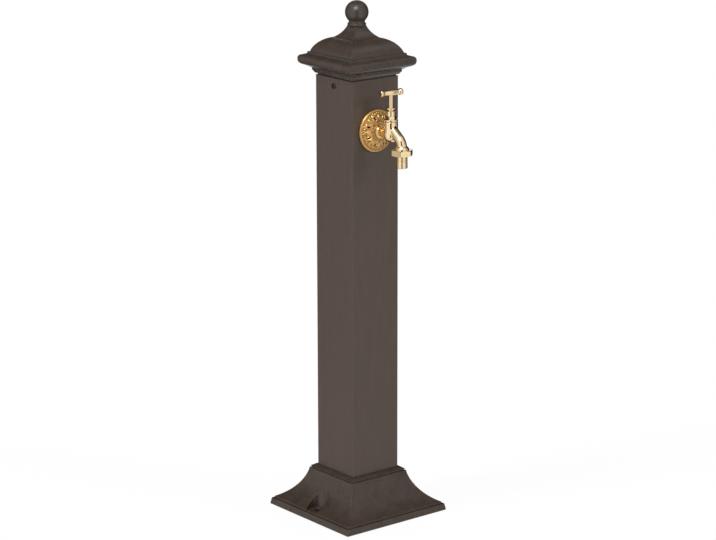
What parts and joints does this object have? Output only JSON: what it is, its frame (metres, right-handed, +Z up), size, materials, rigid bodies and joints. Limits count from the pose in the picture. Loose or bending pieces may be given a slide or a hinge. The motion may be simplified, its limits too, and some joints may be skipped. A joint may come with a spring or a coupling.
{
  "type": "garden standpipe",
  "caption": "Square garden post with a scooped foot, moulded cap and ball, and a brass bib tap with tee handle, rosette, union nut and hose tail.",
  "frame": {"origin": "on the ground, under the middle of the square foot", "axes": "+Z up along the post, the tap stands out towards -Y"},
  "size_m": [0.243, 0.2743, 0.99],
  "materials": {
    "coated_casting": "matt bronze-brown powder coat on cast metal",
    "coated_post": "satin bronze-brown powder coat on steel tube",
    "dark_screw": "dark coated screw",
    "zinc_steel": "zinc plated steel",
    "rosette_brass": "cast and polished brass",
    "polished_brass": "polished brass",
    "satin_brass": "satin turned brass",
    "plain_brass": "machined brass",
    "copper_pipe": "drawn copper tube",
    "fibre_washer": "tan vulcanised fibre",
    "black_rubber": "black rubber"
  },
  "bodies": {
    "standpipe": {"base_casting": "coated_casting", "post_tube": "coated_post", "post_foot_plate": "zinc_steel", "post_foot_screws": "zinc_steel", "cap_casting": "coated_casting", "cap_screws": "dark_screw", "ball_finial": "coated_casting", "finial_stud": "zinc_steel", "finial_washer": "zinc_steel", "finial_nut": "zinc_steel", "rosette": "rosette_brass", "tap_body": "polished_brass", "bonnet_washer": "fibre_washer", "bonnet": "polished_brass", "gland_packing": "fibre_washer", "gland_screw": "polished_brass", "wall_elbow": "plain_brass", "elbow_screws": "zinc_steel", "riser_pipe": "copper_pipe", "inlet_connector": "plain_brass", "inlet_backnut": "plain_brass", "riser_nuts": "plain_brass", "riser_olives": "plain_brass"},
    "valve": {"jumper": "plain_brass", "jumper_washer": "black_rubber", "jumper_nut": "plain_brass"},
    "spindle": {"spindle": "polished_brass", "tee_handle": "polished_brass", "handle_pin": "polished_brass"},
    "hose_tail": {"hose_tail": "satin_brass", "hose_tail_washer": "black_rubber"},
    "union_nut": {"union_nut": "satin_brass"}
  },
  "joints": [
    {"name": "valve_lift", "type": "slide", "parent": "standpipe", "child": "valve", "axis": [0, 0, 1], "range_m": [0, 0.00405]},
    {"name": "handle_turn", "type": "hinge", "parent": "valve", "child": "spindle", "pos_m": [0, -0.1, 0.8311], "axis": [0, 0, 1], "range_deg": [0, 720]},
    {"name": "tail_drop", "type": "slide", "parent": "standpipe", "child": "hose_tail", "axis": [0, 0, -1], "range_m": [0, 0.00465]},
    {"name": "union_turn", "type": "hinge", "parent": "hose_tail", "child": "union_nut", "pos_m": [0, -0.1324, 0.7244], "axis": [0, 0, -1], "range_deg": [0, 900]}
  ],
  "couplings": [
    {"joint": "valve_lift", "follows": "handle_turn", "m_per_rad": 0.00031831},
    {"joint": "tail_drop", "follows": "union_turn", "m_per_rad": 0.00028871}
  ]
}
